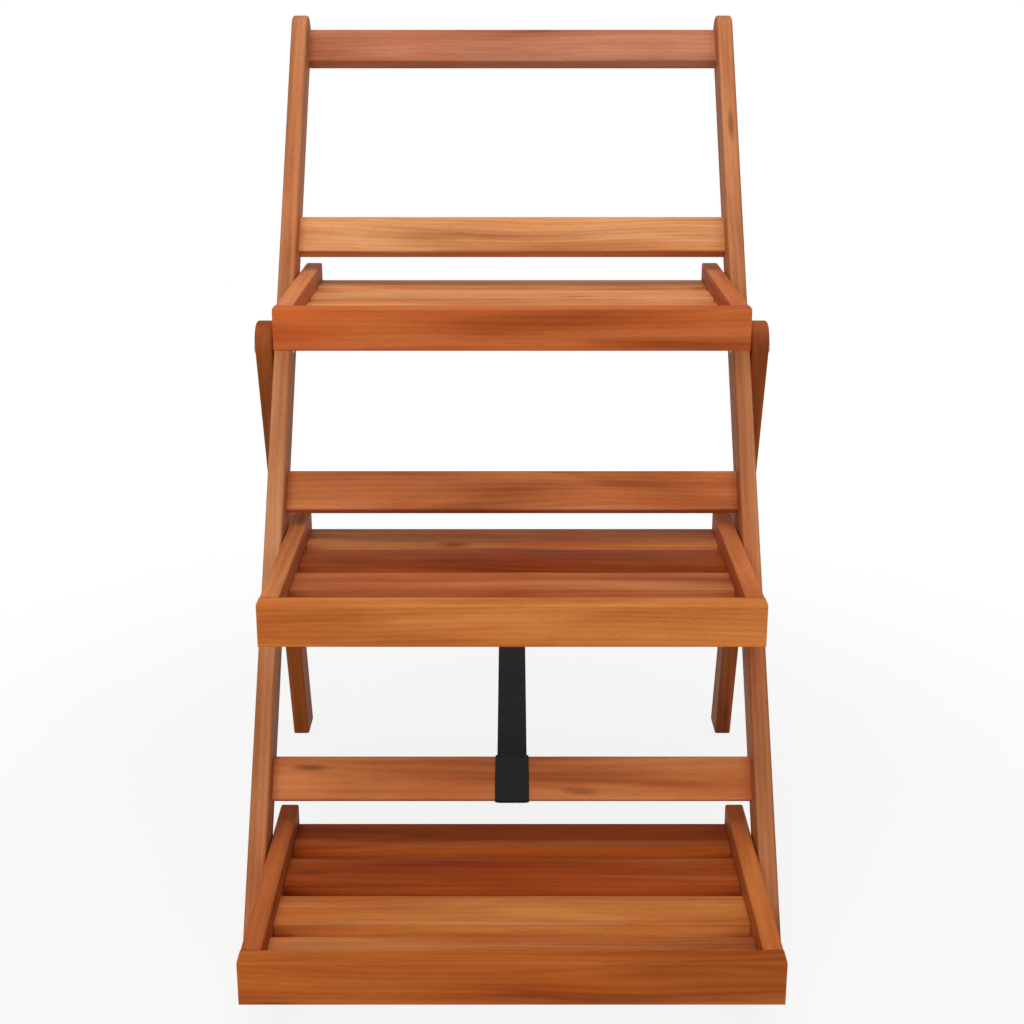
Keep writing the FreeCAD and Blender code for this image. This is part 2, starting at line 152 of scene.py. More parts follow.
class StandSizes(bpy.types.PropertyGroup):
    """Sizes of the pieces that are made round the frame."""
    slat_round: length("Slat edge radius", "Rounding of the slats' long edges", 1 * MM, min=0.2 * MM,
                       max=5 * MM)
    screw_head: length("Screw head radius", "Radius of the wood screws' heads", 3.8 * MM)
    screw_inset: length("Screw spacing", "From a rail's middle to each of its two screws", 11 * MM)
    bolt_socket: length("Bolt socket", "Size across the flats of the bolts' hexagon socket", 4 * MM)
    washer_radius: length("Washer radius", "Outer radius of the pivots' washers", 8 * MM)
    strap_width: length("Strap width", "Width of the webbing", 32 * MM)
    strap_thick: length("Strap thickness", "Thickness of the webbing", 1.6 * MM)
    stitch_pitch: length("Stitch spacing", "From one stitch of the strap's seams to the next", 3.2 * MM)
    stitch_radius: length("Thread radius", "Radius of the sewing thread", 0.4 * MM)


class StandColours(bpy.types.PropertyGroup):
    """Colours of the materials, as sRGB hex values."""
    webbing: StringProperty(name="Webbing", description="Colour of the strap's yarn", default="#110F0D")
    thread: StringProperty(name="Thread", description="Colour of the strap's stitches", default="#2E2B2B")
    steel: StringProperty(name="Steel", description="Colour of the zinc-plated fasteners", default="#B9BBBD")
    floor: StringProperty(name="Floor", description="Colour of the floor", default="#DCDAD6")


class StandStage(bpy.types.PropertyGroup):
    """The camera, the lamps and the floor."""
    camera_place: FloatVectorProperty(name="Camera place", description="Where the camera stands",
                                      default=(0.0, -1.5251, 0.9601), subtype="TRANSLATION", unit="LENGTH")
    camera_pitch: FloatProperty(name="Camera pitch", description="How far the camera looks down",
                                default=math.radians(15.54), subtype="ANGLE", unit="ROTATION")
    camera_lens: FloatProperty(name="Focal length", description="Focal length on a 36 mm sensor",
                               default=51.76, unit="CAMERA")
    camera_rise: FloatProperty(name="Camera shift",
                               description="Vertical shift of the lens, as a share of the width",
                               default=-0.1094)
    lamp_power: FloatProperty(name="Lamp power", description="Power of the main lamp", default=40.0,
                              unit="POWER")
    floor_radius: length("Floor radius", "Radius of the floor", 6.0)
    floor_segments: IntProperty(name="Floor segments", description="Sides of the round floor", default=64)


# ---------------- materials

def linear(code):
    """An sRGB hex value as linear red, green, blue and alpha."""
    values = [int(code.lstrip("#")[place:place + 2], 16) / 255 for place in (0, 2, 4)]
    return tuple(v / 12.92 if v <= 0.04045 else ((v + 0.055) / 1.055) ** 2.4 for v in values) + (1.0,)


def add_node(tree, kind, inputs=None, **settings):
    """Adds a node. Inputs maps a socket's name or number to a value, to another node's output, or to
    another node, which stands for its first output."""
    node = tree.nodes.new(kind)
    node.location = (len(tree.nodes) % 12 * 190, -(len(tree.nodes) // 12) * 260)
    for name, value in settings.items():
        setattr(node, name, value)
    for socket, source in (inputs or {}).items():
        if isinstance(source, bpy.types.Node):
            source = source.outputs[0]
        if isinstance(source, bpy.types.NodeSocket):
            tree.links.new(source, node.inputs[socket])
        else:
            node.inputs[socket].default_value = source
    return node


def set_stops(ramp, stops, interpolation="LINEAR"):
    """Gives a colour ramp its stops: a place, and an sRGB hex value or a linear colour."""
    ramp.color_ramp.interpolation = interpolation
    elements = ramp.color_ramp.elements
    while len(elements) < len(stops):
        elements.new(1.0)
    for element, (place, code) in zip(elements, stops):
        element.position = place
        element.color = linear(code) if isinstance(code, str) else code
    return ramp


def new_material(name):
    """An empty material and its tree."""
    material = bpy.data.materials.new(name)
    material.use_nodes = True
    material.node_tree.nodes.clear()
    return material, material.node_tree


def lay_surface(tree, values):
    """Ends a material in a principled surface with these values."""
    surface = add_node(tree, "ShaderNodeBsdfPrincipled", values)
    add_node(tree, "ShaderNodeOutputMaterial", {"Surface": surface})


def wood_shades(code):
    """The darker streaks of a wood, its main colour and its lighter streaks, as linear colours."""
    main = linear(code)[:3]
    return [tuple(min(1.0, value * factor) for value, factor in zip(main, factors)) + (1.0,)
            for factors in ((0.62, 0.52, 0.46), (1.0, 1.0, 1.0), (1.28, 1.46, 1.64))]


def oiled_acacia(name, tone, turn, shift, figure=1.0, streak=0.25, row_tones=None, row_top=0.0):
    """Oiled acacia, sawn, planed and rubbed with oil.

    The oil deepens the orange heartwood and leaves a low satin. Soft streaks run along each board
    through broader bands, with faint growth rings, fibres, open pores and here and there a knot. Turn
    lays the grain along the board, and shift takes each board from another place in the log. Row tones
    gives each board of a row its own tone, by the attribute "slat", and below row top their edges show
    the paler wood that they were sawn through.
    """
    dark, main, light = wood_shades(tone)
    material, tree = new_material(name)
    coordinates = add_node(tree, "ShaderNodeTexCoord").outputs["Object"]
    place = add_node(tree, "ShaderNodeMapping", {"Vector": coordinates, "Rotation": turn, "Location": shift})
    if row_tones:
        number = add_node(tree, "ShaderNodeAttribute", attribute_name="slat").outputs["Fac"]
        along, across = [add_node(tree, "ShaderNodeMath", {0: number, 1: step}, operation="MULTIPLY")
                         for step in (0.71, 0.043)]
        jump = add_node(tree, "ShaderNodeCombineXYZ", {"X": along, "Z": across})
        place = add_node(tree, "ShaderNodeVectorMath", {0: place, 1: jump}, operation="ADD")

    def stretched(along, across):
        """The place with its scales along and across the grain."""
        return add_node(tree, "ShaderNodeVectorMath", {0: place, 1: (along, across, across)},
                        operation="MULTIPLY")

    def pattern(along, across, values, kind="ShaderNodeTexNoise"):
        """Soft spots, as many for each metre along the grain and across it."""
        return add_node(tree, kind, {"Vector": stretched(along, across), "Scale": 1.0, **values})

    # slow waves of the trunk bend the grain, over 300 mm along it and 50 mm across
    wander = pattern(3.2, 20, {"Detail": 1.0, "Roughness": 0.4}).outputs["Color"]
    swing = add_node(tree, "ShaderNodeVectorMath", {0: wander, 1: (0.0, 0.024 * figure, 0.024 * figure)},
                     operation="MULTIPLY")
    place = add_node(tree, "ShaderNodeVectorMath", {0: place, 1: swing}, operation="ADD")
    # growth rings 5.2 mm apart, because a ring texture of scale 1 repeats every 314 mm
    rings = add_node(tree, "ShaderNodeTexWave", {
        "Vector": stretched(0.02, 1.0), "Scale": 314 / 5.2, "Distortion": 2.2, "Detail": 2.0,
        "Detail Scale": 1.4, "Detail Roughness": 0.6}, wave_type="RINGS", rings_direction="X", wave_profile="SIN")
    # broad heartwood bands about 35 mm wide, soft streaks 8 mm wide, and patches of about 250 mm by 60 mm
    # where the heartwood is redder
    bands = pattern(3.4, 28, {"Detail": 3.0, "Roughness": 0.5, "Distortion": 0.4})
    streaks = pattern(2.8, 120, {"Detail": 2.0, "Roughness": 0.45})
    redness = pattern(4.0, 16, {"Detail": 2.0})
    # fibres 1.2 mm wide and 70 mm long; real ones are finer, and these are as fine as a render shows
    fibres = pattern(14, 820, {"Detail": 3.0, "Roughness": 0.62})
    # pores 12 mm long and 0.7 mm wide
    pores = pattern(85, 1400, {"Detail": 1.0})
    pore_mask = add_node(tree, "ShaderNodeMapRange", {"Value": pores, "From Min": 0.62, "From Max": 0.74})
    # a knot is about 30 mm long and 6 mm wide, in a cell of 200 mm by 38 mm
    knots = pattern(5.0, 26, {}, "ShaderNodeTexVoronoi").outputs["Distance"]
    knot_mask = add_node(tree, "ShaderNodeMapRange", {
        "Value": knots, "From Min": 0.04, "From Max": 0.13, "To Min": 0.65, "To Max": 0.0})

    blend = add_node(tree, "ShaderNodeMath", {0: bands, 1: 0.72}, operation="MULTIPLY")
    for part, weight in ((streaks, 0.23), (rings.outputs["Fac"], 0.05)):
        blend = add_node(tree, "ShaderNodeMath", {0: part, 1: weight, 2: blend}, operation="MULTIPLY_ADD")
    colour = set_stops(add_node(tree, "ShaderNodeValToRGB", {"Fac": blend}),
                       ((0.32, dark), (0.50, main), (0.68, light)))
    if row_tones:
        # each board of the row has its own depth of colour, as a share of the row's tone
        share = add_node(tree, "ShaderNodeMapRange", {"Value": number, "From Max": len(row_tones)})
        own = [tuple(value / (2 * whole) for value, whole in zip(linear(code), main)) for code in row_tones]
        own = set_stops(add_node(tree, "ShaderNodeValToRGB", {"Fac": share}),
                        [(max(0.0, (index - 0.5) / len(own)), code) for index, code in enumerate(own)],
                        "CONSTANT")
        colour = add_node(tree, "ShaderNodeVectorMath", {0: colour, 1: own}, operation="MULTIPLY")
        height = add_node(tree, "ShaderNodeSeparateXYZ", {"Vector": coordinates}).outputs["Z"]
        edge = add_node(tree, "ShaderNodeMapRange", {
            "Value": height, "From Min": row_top - 2.2 * MM, "From Max": row_top - 0.8 * MM, "To Min": 2.7,
            "To Max": 2.0})
        colour = add_node(tree, "ShaderNodeVectorMath", {0: colour, 3: edge}, operation="SCALE")
    red_mask = add_node(tree, "ShaderNodeMapRange", {"Value": redness, "From Min": 0.42, "From Max": 0.68})
    redder = add_node(tree, "ShaderNodeVectorMath", {0: colour, 1: (0.96, 0.74, 0.62)}, operation="MULTIPLY")
    colour = add_node(tree, "ShaderNodeMix", {0: red_mask, 6: colour, 7: redder}, data_type="RGBA").outputs[2]
    # pale sapwood streaks 16 mm wide run nearly the whole length of a board
    sapwood = pattern(1.1, 62, {"Detail": 2.0})
    sap_mask = add_node(tree, "ShaderNodeMapRange", {
        "Value": sapwood, "From Min": 0.60 - 0.2 * streak, "From Max": 0.78, "To Max": 0.8 * streak})
    colour = add_node(tree, "ShaderNodeMix", {0: sap_mask, 6: colour, 7: linear("#E9B98A")},
                      data_type="RGBA").outputs[2]
    shade = add_node(tree, "ShaderNodeMapRange", {
        "Value": fibres, "From Min": 0.25, "From Max": 0.75, "To Min": 0.94, "To Max": 1.05})
    colour = add_node(tree, "ShaderNodeVectorMath", {0: colour, 3: shade}, operation="SCALE")
    for mask, strength, code in ((pore_mask, 0.32, "#54240F"), (knot_mask, 0.8, "#4A2110")):
        amount = add_node(tree, "ShaderNodeMath", {0: mask, 1: strength}, operation="MULTIPLY")
        colour = add_node(tree, "ShaderNodeMix", {0: amount, 6: colour, 7: linear(code)},
                          data_type="RGBA").outputs[2]
    gloss = add_node(tree, "ShaderNodeMapRange", {
        "Value": fibres, "From Min": 0.3, "From Max": 0.7, "To Min": 0.64, "To Max": 0.54})
    # relief of the open grain: 0.08 mm in the pores and less over the fibres
    height = add_node(tree, "ShaderNodeMath", {0: fibres, 1: pore_mask}, operation="SUBTRACT")
    bump = add_node(tree, "ShaderNodeBump", {"Height": height, "Distance": 0.08 * MM, "Strength": 0.5})
    lay_surface(tree, {"Base Color": colour, "Roughness": gloss, "Normal": bump, "Specular IOR Level": 0.07})
    return material


def plated_steel():
    """Zinc-plated steel, turned and barrel-plated.

    The zinc gives a cool grey with a soft gloss and faint cloudy patches a few millimetres wide.
    """
    material, tree = new_material("zinc_plated_steel")
    place = add_node(tree, "ShaderNodeTexCoord").outputs["Object"]
    clouds = add_node(tree, "ShaderNodeTexNoise", {"Vector": place, "Scale": 1 / (4 * MM), "Detail": 3.0})
    marks = add_node(tree, "ShaderNodeTexNoise", {"Vector": place, "Scale": 1 / (0.5 * MM), "Detail": 1.0})
    tint = set_stops(add_node(tree, "ShaderNodeValToRGB", {"Fac": clouds}),
                     ((0.3, "#9EA0A2"), (0.7, bpy.context.scene.stand_colours.steel)))
    gloss = add_node(tree, "ShaderNodeMapRange", {
        "Value": clouds, "From Min": 0.3, "From Max": 0.7, "To Min": 0.42, "To Max": 0.28})
    bump = add_node(tree, "ShaderNodeBump", {"Height": marks, "Distance": 0.02 * MM, "Strength": 0.5})
    lay_surface(tree, {"Base Color": tint, "Roughness": gloss, "Normal": bump, "Metallic": 1.0})
    return material


def woven_webbing():
    """Polypropylene webbing, woven as a twill and dyed black.

    Ribs 1.6 mm apart run along the strap, the weft crosses each of them every 2.2 mm, and the filaments
    give a low plastic sheen. The pattern follows the strap's own map, in metres.
    """
    rib_pitch, pick_pitch = 1.6 * MM, 2.2 * MM
    material, tree = new_material("woven_webbing")
    strap_map = add_node(tree, "ShaderNodeUVMap", uv_map="strap")
    parts = add_node(tree, "ShaderNodeSeparateXYZ", {"Vector": strap_map}).outputs
    across, along, rib_number = [
        add_node(tree, "ShaderNodeMath", {0: source, 1: turns}, operation="MULTIPLY")
        for source, turns in ((parts["X"], math.pi / rib_pitch), (parts["Y"], math.tau / pick_pitch),
                              (parts["X"], 1 / rib_pitch))]
    # each rib's picks are a quarter of their pitch behind its neighbour's
    rib_number = add_node(tree, "ShaderNodeMath", {0: rib_number}, operation="FLOOR")
    along = add_node(tree, "ShaderNodeMath", {0: rib_number, 1: math.pi / 2, 2: along},
                     operation="MULTIPLY_ADD")
    rib = add_node(tree, "ShaderNodeMath", {0: across}, operation="SINE")
    rib = add_node(tree, "ShaderNodeMath", {0: rib}, operation="ABSOLUTE")
    pick = add_node(tree, "ShaderNodeMath", {0: along}, operation="SINE")
    pick = add_node(tree, "ShaderNodeMapRange", {"Value": pick, "From Min": -1.0, "From Max": 1.0})
    relief = add_node(tree, "ShaderNodeMath", {0: rib, 1: pick}, operation="MULTIPLY")
    tint = set_stops(add_node(tree, "ShaderNodeValToRGB", {"Fac": relief}),
                     ((0.0, "#0B0A0A"), (0.55, bpy.context.scene.stand_colours.webbing), (1.0, "#1C1917")))
    dust = add_node(tree, "ShaderNodeTexNoise", {"Vector": strap_map, "Scale": 1 / (12 * MM), "Detail": 3.0})
    worn = add_node(tree, "ShaderNodeMapRange",
                    {"Value": dust, "From Min": 0.4, "From Max": 0.8, "To Max": 0.08})
    colour = add_node(tree, "ShaderNodeMix", {0: worn, 6: tint, 7: linear("#3A3634")},
                      data_type="RGBA").outputs[2]
    bump = add_node(tree, "ShaderNodeBump", {"Height": relief, "Distance": 0.35 * MM, "Strength": 0.9})
    lay_surface(tree, {"Base Color": colour, "Normal": bump, "Roughness": 0.62, "Specular IOR Level": 0.2})
    return material


def sewing_thread():
    """Polyester sewing thread, twisted from three plies, with a soft gloss along the twist."""
    material, tree = new_material("polyester_thread")
    place = add_node(tree, "ShaderNodeTexCoord").outputs["Object"]
    # the twist comes round every 2.5 mm, because a diagonal band texture of scale 1 repeats every 628 mm
    twist = add_node(tree, "ShaderNodeTexWave", {"Vector": place, "Scale": 249.873, "Distortion": 1.0},
                     wave_type="BANDS", bands_direction="DIAGONAL").outputs["Fac"]
    tint = set_stops(add_node(tree, "ShaderNodeValToRGB", {"Fac": twist}),
                     ((0.1, "#191717"), (0.8, bpy.context.scene.stand_colours.thread)))
    bump = add_node(tree, "ShaderNodeBump", {"Height": twist, "Distance": 0.05 * MM})
    lay_surface(tree, {"Base Color": tint, "Normal": bump, "Roughness": 0.5})
    return material


def shared(name, maker):
    """A material that several pieces share, made on first use."""
    return bpy.data.materials.get(name) or maker()


# ---------------- meshes

def new_piece(name, mesh, body, material=None):
    """A finished object at the origin that rides on a body."""
    piece = bpy.data.objects.new(name, mesh)
    bpy.context.scene.collection.objects.link(piece)
    if material:
        mesh.materials.clear()
        mesh.materials.append(material)
    if body:
        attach(piece, body)
    return piece


def smooth(mesh, degrees=35):
    """Smooth shading, with edges sharper than the angle kept."""
    for face in mesh.polygons:
        face.use_smooth = True
    mesh.set_sharp_from_angle(angle=math.radians(degrees))


def run_tree(tree, name, values, points=()):
    """The plain mesh that a geometry tree makes from its inputs and some points with their facings."""
    start = bpy.data.meshes.new(name)
    if points:
        start.from_pydata([spot for spot, _ in points], [], [])
        layer = start.attributes.new("facing", "FLOAT_VECTOR", "POINT")
        layer.data.foreach_set("vector", [value for _, facing in points for value in facing])
    carrier = bpy.data.objects.new(name, start)
    bpy.context.scene.collection.objects.link(carrier)
    modifier = carrier.modifiers.new("tree", "NODES")
    modifier.node_group = tree
    for item in tree.interface.items_tree:
        if item.item_type == "SOCKET" and item.in_out == "INPUT" and item.name in values:
            modifier[item.identifier] = values[item.name]
    graph = bpy.context.evaluated_depsgraph_get()
    graph.update()
    mesh = bpy.data.meshes.new_from_object(carrier.evaluated_get(graph), depsgraph=graph)
    mesh.name = name
    carrier.modifiers.remove(modifier)
    bpy.data.objects.remove(carrier)
    bpy.data.meshes.remove(start)
    return mesh


def new_tree(name, inputs):
    """An empty geometry tree with named inputs: name, kind and default."""
    tree = bpy.data.node_groups.new(name, "GeometryNodeTree")
    tree.interface.new_socket("Geometry", in_out="INPUT", socket_type="NodeSocketGeometry")
    for label, kind, default in inputs:
        socket = tree.interface.new_socket(label, in_out="INPUT", socket_type=kind)
        if default is not None:
            socket.default_value = default
    tree.interface.new_socket("Geometry", in_out="OUTPUT", socket_type="NodeSocketGeometry")
    return tree, add_node(tree, "NodeGroupInput").outputs


def close_tree(tree, geometry, material):
    """Ends a tree in Realize Instances and Set Material."""
    plain = add_node(tree, "GeometryNodeRealizeInstances", {"Geometry": geometry})
    finished = add_node(tree, "GeometryNodeSetMaterial", {"Geometry": plain, "Material": material})
    add_node(tree, "NodeGroupOutput", {"Geometry": finished})


def slat_row_tree():
    """A row of slats: a rounded section drawn along a line, and repeated from the front to the back."""
    tree, sizes = new_tree("slat_row", (
        ("Start", "NodeSocketVector", None), ("Length", "NodeSocketFloat", 0.46),
        ("Width", "NodeSocketFloat", 0.046), ("Thickness", "NodeSocketFloat", 0.015),
        ("Radius", "NodeSocketFloat", 0.002), ("Pitch", "NodeSocketFloat", 0.066),
        ("Count", "NodeSocketInt", 4), ("Material", "NodeSocketMaterial", None)))
    end = add_node(tree, "ShaderNodeCombineXYZ", {"X": sizes["Length"]})
    line = add_node(tree, "GeometryNodeCurvePrimitiveLine", {"End": end})
    section = add_node(tree, "GeometryNodeCurvePrimitiveQuadrilateral", {
        "Width": sizes["Width"], "Height": sizes["Thickness"]})
    section = add_node(tree, "GeometryNodeFilletCurve", {
        "Curve": section, "Radius": sizes["Radius"], "Count": 4, "Limit Radius": True}, mode="POLY")
    slat = add_node(tree, "GeometryNodeCurveToMesh", {
        "Curve": line, "Profile Curve": section, "Fill Caps": True})
    step = add_node(tree, "ShaderNodeCombineXYZ", {"Y": sizes["Pitch"]})
    row = add_node(tree, "GeometryNodeMeshLine", {
        "Count": sizes["Count"], "Start Location": sizes["Start"], "Offset": step})
    placed = add_node(tree, "GeometryNodeInstanceOnPoints", {"Points": row, "Instance": slat})
    index = add_node(tree, "GeometryNodeInputIndex")
    numbered = add_node(tree, "GeometryNodeStoreNamedAttribute",
                        {"Geometry": placed, "Name": "slat", "Value": index},
                        data_type="FLOAT", domain="INSTANCE")
    close_tree(tree, numbered, sizes["Material"])
    return tree


def facing_instances(tree, points, instance):
    """Instances on the points, with their Z axis along each point's facing."""
    facing = add_node(tree, "GeometryNodeInputNamedAttribute", {"Name": "facing"}, data_type="FLOAT_VECTOR")
    turned = add_node(tree, "FunctionNodeAlignRotationToVector", {"Vector": facing}, axis="Z")
    return add_node(tree, "GeometryNodeInstanceOnPoints", {
        "Points": points, "Instance": instance, "Rotation": turned})


def screw_tree():
    """Countersunk screw heads with a cross recess, one on each point."""
    tree, sizes = new_tree("screw_heads", (
        ("Radius", "NodeSocketFloat", 0.004), ("Height", "NodeSocketFloat", 0.0006),
        ("Material", "NodeSocketMaterial", None)))
    # sizes of the head's top, the recess' long and short sides, its depth, and how far up it starts
    top, long_side, short_side, deep, rise = [
        add_node(tree, "ShaderNodeMath", {0: sizes[whole], 1: share}, operation="MULTIPLY")
        for whole, share in (("Radius", 0.88), ("Radius", 1.15), ("Radius", 0.24), ("Height", 1.2),
                             ("Height", 0.9))]
    head = add_node(tree, "GeometryNodeMeshCone", {
        "Vertices": 28, "Side Segments": 1, "Fill Segments": 1, "Radius Top": top,
        "Radius Bottom": sizes["Radius"],
        "Depth": sizes["Height"]})
    lift = add_node(tree, "ShaderNodeCombineXYZ", {"Z": rise})
    bars = add_node(tree, "GeometryNodeJoinGeometry")
    for first, second in ((long_side, short_side), (short_side, long_side)):
        size = add_node(tree, "ShaderNodeCombineXYZ", {"X": first, "Y": second, "Z": deep})
        bar = add_node(tree, "GeometryNodeMeshCube", {"Size": size})
        raised = add_node(tree, "GeometryNodeTransform", {"Geometry": bar, "Translation": lift})
        tree.links.new(raised.outputs[0], bars.inputs[0])
    cut = add_node(tree, "GeometryNodeMeshBoolean", {0: head, 1: bars}, operation="DIFFERENCE")
    close_tree(tree, facing_instances(tree, sizes["Geometry"], cut), sizes["Material"])
    return tree


def washer_tree():
    """Flat washers, one on each point: a small rectangle carried round a circle."""
    tree, sizes = new_tree("washers", (
        ("Radius", "NodeSocketFloat", 0.008), ("Hole", "NodeSocketFloat", 0.0033),
        ("Thickness", "NodeSocketFloat", 0.001), ("Material", "NodeSocketMaterial", None)))
    both, wide = [add_node(tree, "ShaderNodeMath", {0: sizes["Radius"], 1: sizes["Hole"]},
                           operation=operation)
                  for operation in ("ADD", "SUBTRACT")]
    mean = add_node(tree, "ShaderNodeMath", {0: both, 1: 0.5}, operation="MULTIPLY")
    circle = add_node(tree, "GeometryNodeCurvePrimitiveCircle", {"Resolution": 36, "Radius": mean})
    section = add_node(tree, "GeometryNodeCurvePrimitiveQuadrilateral",
                       {"Width": wide, "Height": sizes["Thickness"]})
    ring = add_node(tree, "GeometryNodeCurveToMesh", {"Curve": circle, "Profile Curve": section})
    close_tree(tree, facing_instances(tree, sizes["Geometry"], ring), sizes["Material"])
    return tree


def stitch_tree():
    """Stitches, one on each point: a short thread, half sunk in the webbing, that lies along its facing."""
    tree, sizes = new_tree("stitches", (
        ("Length", "NodeSocketFloat", 0.0024), ("Radius", "NodeSocketFloat", 0.0004), ("Material",
        "NodeSocketMaterial", None)))
    half = add_node(tree, "ShaderNodeMath", {0: sizes["Length"], 1: 0.5}, operation="MULTIPLY")
    shape = add_node(tree, "ShaderNodeCombineXYZ", {"X": sizes["Radius"], "Y": sizes["Radius"], "Z": half})
    ball = add_node(tree, "GeometryNodeMeshUVSphere", {"Segments": 8, "Rings": 6, "Radius": 1.0})
    thread = add_node(tree, "GeometryNodeTransform", {"Geometry": ball, "Scale": shape})
    close_tree(tree, facing_instances(tree, sizes["Geometry"], thread), sizes["Material"])
    return tree


def bolt_mesh(name, places, socket):
    """Bolts with a flat head, softened at the rim, and a hexagon socket. Places hold the start, the
    end under the head and the head's outer face, along X, and the axis' Y and Z."""
    segments, rim, socket_depth = 36, 0.5 * MM, 0.7 * BOLT_HEAD_THICK
    angles = [math.tau * k / segments for k in range(segments)]
    # the hexagon's reach at each angle, from its flats' distance
    flats = [socket / math.sqrt(3) * math.cos(math.pi / 6)
             / math.cos((angle + math.pi / 6) % (math.pi / 3) - math.pi / 6) for angle in angles]
    build = bmesh.new()
    for inner, under, outer, back, up in places:
        side = 1 if outer > inner else -1
        profile = ((inner, BOLT_SHANK), (under, BOLT_SHANK), (under, BOLT_HEAD),
                   (outer - side * rim, BOLT_HEAD),
                   (outer - side * rim * 0.3, BOLT_HEAD - rim * 0.3), (outer, BOLT_HEAD - rim))
        rings = [(across, [radius] * segments) for across, radius in profile]
        rings += [(outer, flats), (outer - side * socket_depth, flats)]
        rows = [[build.verts.new((across, back + radius * math.cos(angle), up + radius * math.sin(angle)))
                 for radius, angle in zip(radii, angles)] for across, radii in rings]
        for first, second in zip(rows, rows[1:]):
            for k in range(segments):
                following = (k + 1) % segments
                build.faces.new((first[k], first[following], second[following], second[k]))
        build.faces.new(rows[0])
        build.faces.new(rows[-1])
    return finished_mesh(build, name)


def finished_mesh(build, name, degrees=35):
    """The mesh of what was built, with its faces outwards and its soft edges smooth."""
    bmesh.ops.recalc_face_normals(build, faces=build.faces)
    mesh = bpy.data.meshes.new(name)
    build.to_mesh(mesh)
    build.free()
    smooth(mesh, degrees)
    return mesh


def ribbon_mesh(name, path, width_at, thick, closed=False):
    """A strap along a path of points in the side view, with crowned faces and rounded edges.

    Its map holds metres across and along. Width_at gives the width from the share of the path."""
    columns, edge_share, edge_thick = 8, 1 / 7, 0.35
    build = bmesh.new()
    layer = build.loops.layers.uv.new("strap")
    count = len(path)
    total = [0.0]
    for first, second in zip(path, path[1:]):
        total.append(total[-1] + (second - first).length)
    rows = []
    for index, point in enumerate(path):
        before = path[(index - 1) % count] if closed or index else path[0]
        after = path[(index + 1) % count] if closed or index < count - 1 else path[-1]
        ahead = (after - before).normalized()
        outward = Vector((0, -ahead.z, ahead.y))
        half = width_at(total[index] / total[-1]) / 2
        ring = []
        for face in (1, -1):
            for column in range(columns + 1):
                share = (column / columns * 2 - 1) * face
                edge = min(1.0, (1 - abs(share)) / edge_share)
                lift = thick / 2 * (edge_thick + (1 - edge_thick) * math.sin(edge * math.pi / 2))
                ring.append(build.verts.new(point + Vector((share * half, 0, 0)) + outward * lift * face))
        rows.append(ring)
    sides = len(rows[0])
    pairs = list(zip(rows, rows[1:]))
    lengths = list(zip(total, total[1:]))
    if closed:
        pairs.append((rows[-1], rows[0]))
        lengths.append((total[-1], total[-1] + (path[0] - path[-1]).length))
    for (first, second), (start, end) in zip(pairs, lengths):
        for k in range(sides):
            following = (k + 1) % sides
            face = build.faces.new((first[k], second[k], second[following], first[following]))
            for loop, along in zip(face.loops, (start, end, end, start)):
                loop[layer].uv = (loop.vert.co.x, along)
    if not closed:
        build.faces.new(rows[0])
        build.faces.new(list(reversed(rows[-1])))
    return finished_mesh(build, name, 60)


def round_path(corners, radius, steps=6):
    """A closed path through a rectangle's corners, with each corner rounded."""
    path = []
    count = len(corners)
    for index, corner in enumerate(corners):
        before = (corners[index - 1] - corner).normalized()
        after = (corners[(index + 1) % count] - corner).normalized()
        start, end = corner + before * radius, corner + after * radius
        centre = corner + (before + after) * radius
        for step in range(steps + 1):
            angle = math.pi / 2 * step / steps
            path.append(centre + (start - centre) * math.cos(angle) + (end - centre) * math.sin(angle))
    return path


def subdivided(path, most):
    """The path with extra points, so that none of its steps is longer than the most."""
    finer = []
    for first, second in zip(path, path[1:]):
        parts = max(1, math.ceil((second - first).length / most))
        finer += [first.lerp(second, part / parts) for part in range(parts)]
    return finer + [path[-1]]


# ---------------- the pieces

# Grain laid along each kind of board: the turn brings it to the X axis.
ACROSS = (0.0, 0.0, 0.0)
DEEP = (0.0, 0.0, -math.pi / 2)
ALONG_LADDER = (LADDER_LEAN, math.pi / 2, 0.0)
ALONG_REAR = (REAR_LEAN, math.pi / 2, 0.0)

# Node, main colour, turn, how strongly the grain wanders, and how much pale sapwood shows.
BOARD_FINISH = (
    ("main_leg_left", "#B6784E", ALONG_LADDER, 0.5, 0.10),
    ("main_leg_right", "#B47248", ALONG_LADDER, 0.5, 0.10),
    ("rear_leg_left", "#965024", ALONG_REAR, 0.5, 0.05),
    ("rear_leg_right", "#965028", ALONG_REAR, 0.5, 0.05),
    ("rear_stretcher", "#9C5228", ACROSS, 0.8, 0.10),
    ("lower_rung", "#C07442", ACROSS, 0.8, 0.10),
    ("middle_rung", "#C07040", ACROSS, 0.7, 0.20),
    ("upper_rung", "#CE905C", ACROSS, 1.1, 0.35),
    ("top_rail", "#A66648", ACROSS, 0.7, 0.12),
    ("lower_front_board", "#A65620", ACROSS, 0.9, 0.05),
    ("middle_front_board", "#C07236", ACROSS, 1.1, 0.10),
    ("upper_front_board", "#B65C2A", ACROSS, 0.8, 0.12),
    ("lower_side_rail_left", "#A4562A", DEEP, 0.7, 0.10),
    ("lower_side_rail_right", "#B4642E", DEEP, 0.7, 0.10),
    ("middle_side_rail_left", "#B87242", DEEP, 0.7, 0.15),
    ("middle_side_rail_right", "#B8683A", DEEP, 0.7, 0.10),
    ("upper_side_rail_left", "#BC7040", DEEP, 0.7, 0.20),
    ("upper_side_rail_right", "#B8663A", DEEP, 0.7, 0.10),
    ("lower_cleats", "#9C5228", DEEP, 0.7, 0.1),
    ("middle_cleats", "#9C5228", DEEP, 0.7, 0.1),
    ("upper_cleats", "#9C5228", DEEP, 0.7, 0.1),
    ("tray_stop_blocks", "#9C5228", DEEP, 0.7, 0.1),
)

